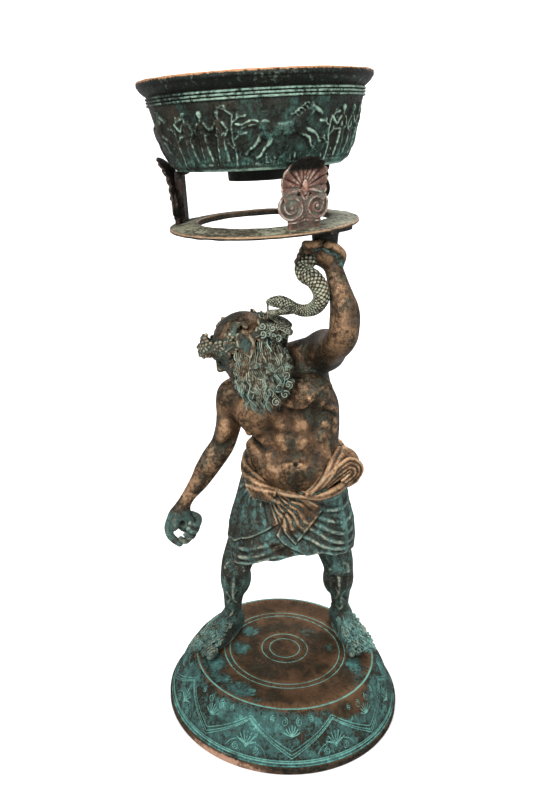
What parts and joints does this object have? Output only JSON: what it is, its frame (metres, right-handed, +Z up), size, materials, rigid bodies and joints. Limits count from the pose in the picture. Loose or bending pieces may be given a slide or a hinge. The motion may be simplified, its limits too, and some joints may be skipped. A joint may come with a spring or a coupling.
{
  "type": "bronze silenus statue",
  "caption": "Cast bronze bearded satyr on a turned plinth, lifting a ring stand with palmette brackets that carry a wide footed bowl in low relief.",
  "frame": {"origin": "centre of the plinth's round underside", "axes": "+Z up, the figure faces -Y, its lowered hand is towards -X"},
  "size_m": [0.2872, 0.258, 0.6625],
  "materials": {
    "plinth_bronze": "brown bronze disc, verdigris on the engraved skirt",
    "figure_bronze": "brown bronze worn on the high places, verdigris in the folds",
    "ring_bronze": "pale olive patina, matt",
    "bracket_bronze": "reddish bronze with green hollows",
    "bowl_bronze": "black-green patina, worn copper rim"
  },
  "bodies": {
    "root": {"plinth": "plinth_bronze", "silenus_figure": "figure_bronze", "ring_stand": "ring_bronze", "bracket_front": "bracket_bronze", "bracket_rear": "bracket_bronze", "bracket_left": "bracket_bronze", "bowl": "bowl_bronze"}
  },
  "joints": []
}
